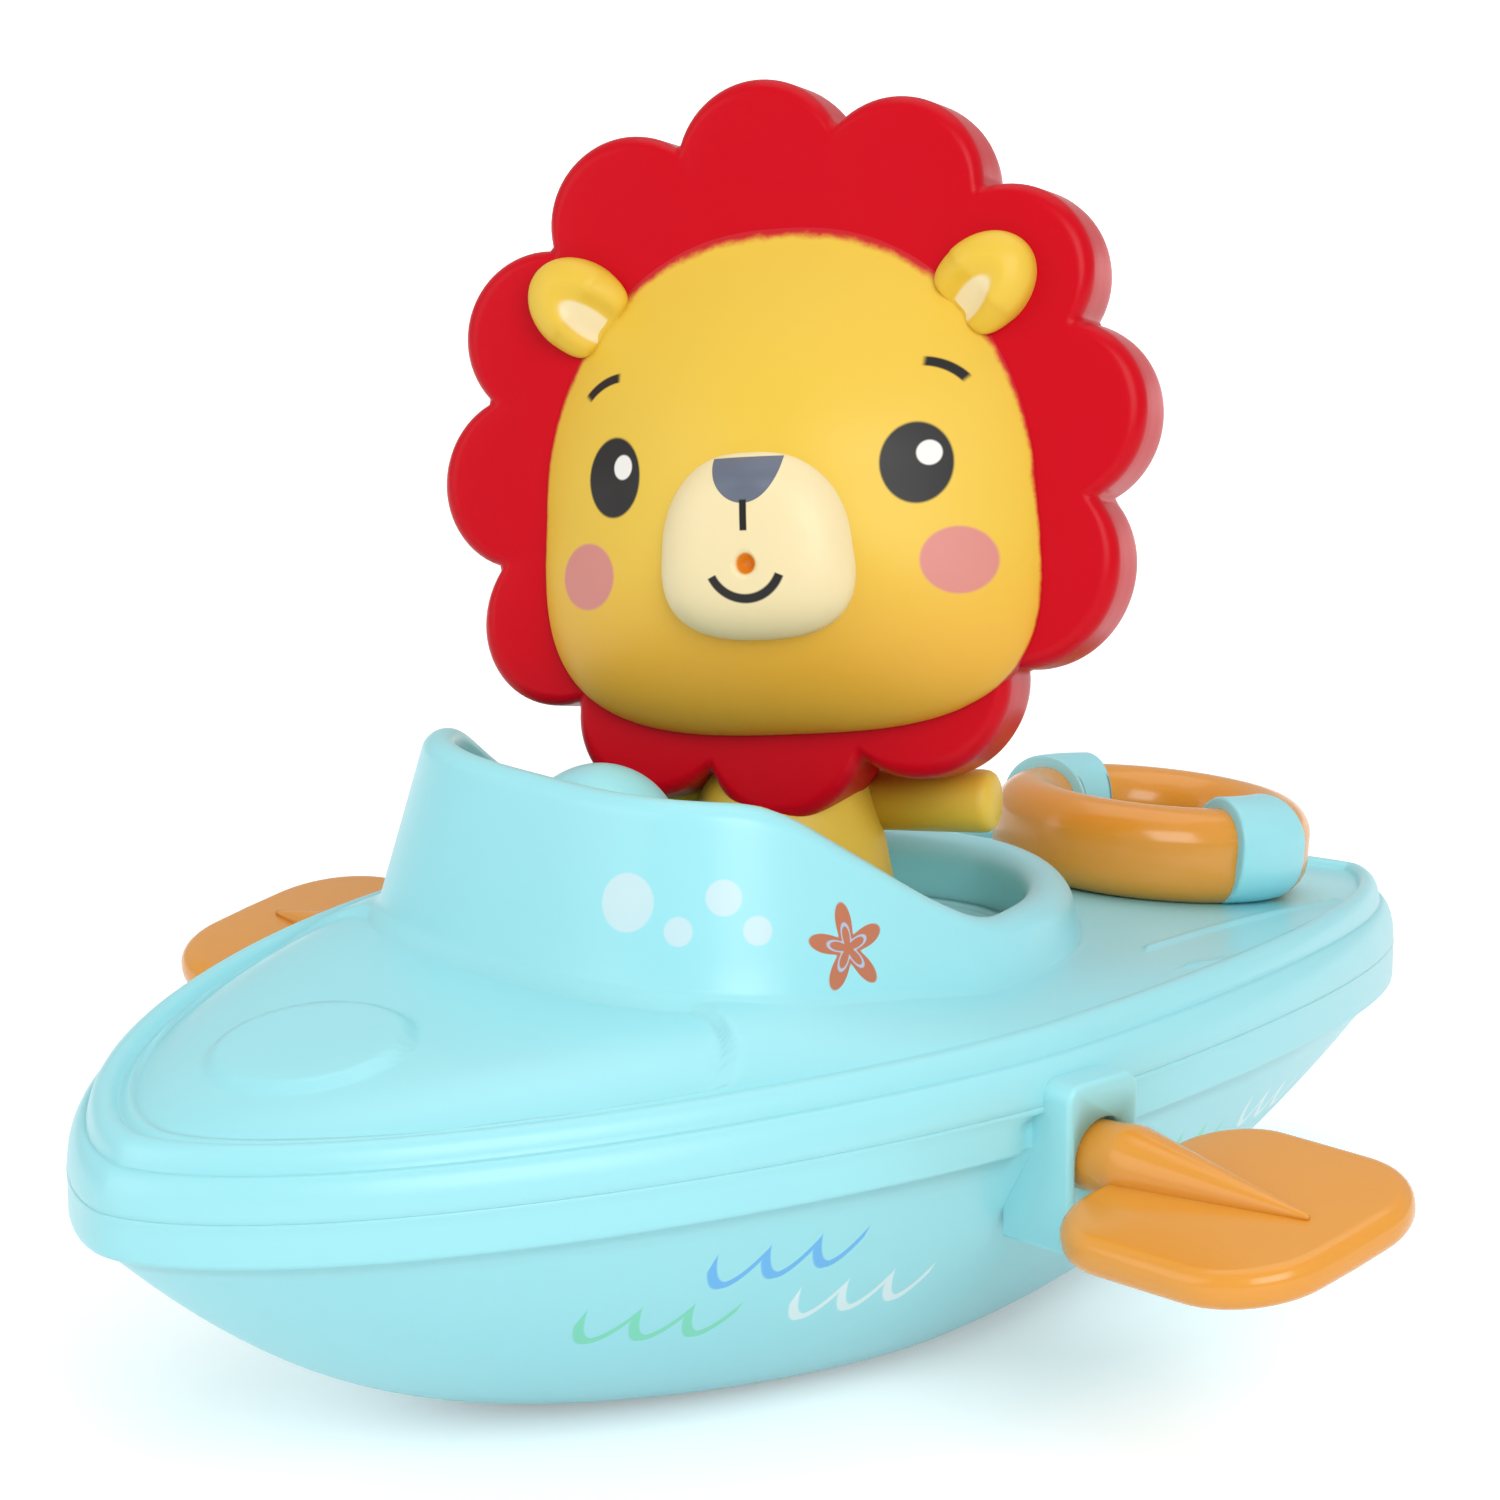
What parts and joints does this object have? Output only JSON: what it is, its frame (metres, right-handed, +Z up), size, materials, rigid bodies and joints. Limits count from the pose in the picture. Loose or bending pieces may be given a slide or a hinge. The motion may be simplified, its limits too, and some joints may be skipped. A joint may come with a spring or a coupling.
{
  "type": "toy boat",
  "caption": "Aqua bath toy boat with orange paddles turned by a pull-cord spring motor, an orange lifebuoy pull ring on the aft deck and a lift-out lion figure in the cockpit",
  "frame": {"origin": "on the floor under the middle of the hull length, at the flat keel pad", "axes": "+X to the bow, +Y to port, +Z up"},
  "size_m": [0.1916, 0.1706, 0.1329],
  "materials": {
    "aqua_plastic": "smooth moulded, soft gloss, tinted aqua",
    "orange_plastic": "smooth moulded, soft gloss",
    "red_vinyl": "sprayed red over soft vinyl, satin",
    "yellow_vinyl": "sprayed yellow over soft vinyl, satin",
    "white_plastic": "natural acetal",
    "grey_plastic": "moulded motor case",
    "steel": "plated steel",
    "brass_wheel": "stamped brass",
    "cord_fibre": "braided nylon cord"
  },
  "bodies": {
    "boat": {"hull_shell": "aqua_plastic", "deck_shell": "aqua_plastic", "cockpit_tub": "aqua_plastic", "hull_screws": "steel", "axle_bush_port": "white_plastic", "axle_bush_starboard": "white_plastic", "motor_case_port": "grey_plastic", "motor_case_starboard": "grey_plastic", "motor_screws": "steel", "idler_pin": "steel", "arbor_pin": "steel", "mainspring": "steel", "cord_guide": "white_plastic", "cord_run": "cord_fibre"},
    "paddles": {"paddle_axle": "steel", "axle_pinion": "white_plastic", "paddle_port": "orange_plastic", "paddle_starboard": "orange_plastic"},
    "idler": {"idler_gear": "white_plastic"},
    "drive": {"drive_gear": "brass_wheel"},
    "drum": {"cord_drum": "white_plastic", "cord_winding": "cord_fibre", "clutch_spring": "steel"},
    "ring": {"pull_ring": "orange_plastic", "ring_bands": "aqua_plastic", "pull_cord": "cord_fibre"},
    "figure": {"lion_body": "yellow_vinyl", "lion_head": "yellow_vinyl", "lion_mane": "red_vinyl"}
  },
  "joints": [
    {"name": "paddle_spin", "type": "hinge", "parent": "boat", "child": "paddles", "pos_m": [0.0075, 0, 0.0303], "axis": [0, 1, 0], "continuous": true},
    {"name": "idler_spin", "type": "hinge", "parent": "boat", "child": "idler", "pos_m": [0.00135, 0, 0.0193], "axis": [0, 1, 0], "continuous": true},
    {"name": "drive_spin", "type": "hinge", "parent": "boat", "child": "drive", "pos_m": [-0.01217, 0, 0.01568], "axis": [0, 1, 0], "continuous": true},
    {"name": "ring_pull", "type": "slide", "parent": "boat", "child": "ring", "axis": [-0.1255, 0, 0.9921], "range_m": [0, 0.25]},
    {"name": "drum_spin", "type": "hinge", "parent": "boat", "child": "drum", "pos_m": [-0.01217, 0, 0.01568], "axis": [0, 1, 0], "range_deg": [-1920, 0]},
    {"name": "figure_lift", "type": "slide", "parent": "boat", "child": "figure", "axis": [0, 0, 1], "range_m": [0, 0.06]}
  ],
  "couplings": [
    {"joint": "idler_spin", "follows": "paddle_spin", "ratio": -0.38461},
    {"joint": "drive_spin", "follows": "paddle_spin", "ratio": 0.12821},
    {"joint": "drum_spin", "follows": "ring_pull", "rad_per_m": -133.33}
  ]
}
